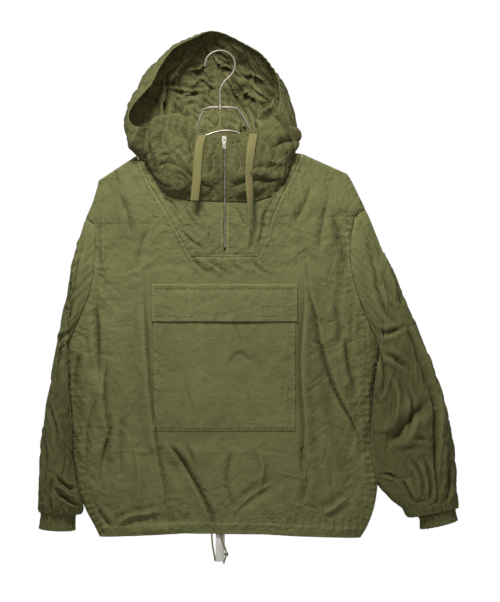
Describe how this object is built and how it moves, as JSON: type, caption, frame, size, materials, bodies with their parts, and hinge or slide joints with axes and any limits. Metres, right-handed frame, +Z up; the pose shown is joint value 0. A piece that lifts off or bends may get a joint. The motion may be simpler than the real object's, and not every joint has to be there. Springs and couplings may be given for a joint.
{
  "type": "anorak smock on a wire hanger",
  "caption": "Loose cotton pullover smock with high collar hood, half zip, flap pocket and elastic cuffs, hanging on a steel wire hanger.",
  "frame": {"origin": "inside top of the hanger's hook, on the hook wire's centre plane", "axes": "+Z up, the garment's front faces -Y, +X to the right of the front view"},
  "size_m": [0.7628, 0.1831, 0.9588],
  "materials": {
    "cotton": "garment-dyed olive cotton plain weave",
    "zip_metal": "aged nickel",
    "zip_tape": "woven polyester tape",
    "hanger_steel": "plated steel wire",
    "drawstring": "herringbone cotton tape",
    "cord": "braided cotton cord",
    "label": "plain satin ribbon"
  },
  "bodies": {
    "garment": {"body_front": "cotton", "body_back": "cotton", "front_bib": "cotton", "pocket": "cotton", "pocket_flap": "cotton", "sleeve_left": "cotton", "sleeve_right": "cotton", "cuff_left": "cotton", "cuff_right": "cotton", "hood_left": "cotton", "hood_right": "cotton", "zip_teeth": "zip_metal", "zip_tape": "zip_tape", "zip_slider": "zip_metal", "hanger_hook": "hanger_steel", "hanger_ferrule": "hanger_steel", "hanger_frame": "hanger_steel", "drawstring_left": "drawstring", "drawstring_right": "drawstring", "hem_cord_right": "cord", "hem_cord_knot": "cord", "hem_cord_tail": "cord", "hem_cord_left": "cord", "care_label": "label"},
    "pull_tab": {"zip_pull": "zip_metal"}
  },
  "joints": [
    {"name": "pull_tab_hinge", "type": "hinge", "parent": "garment", "child": "pull_tab", "pos_m": [0.0082, -0.0536, -0.163], "axis": [-1, 0, 0], "range_deg": [0, 150]}
  ]
}
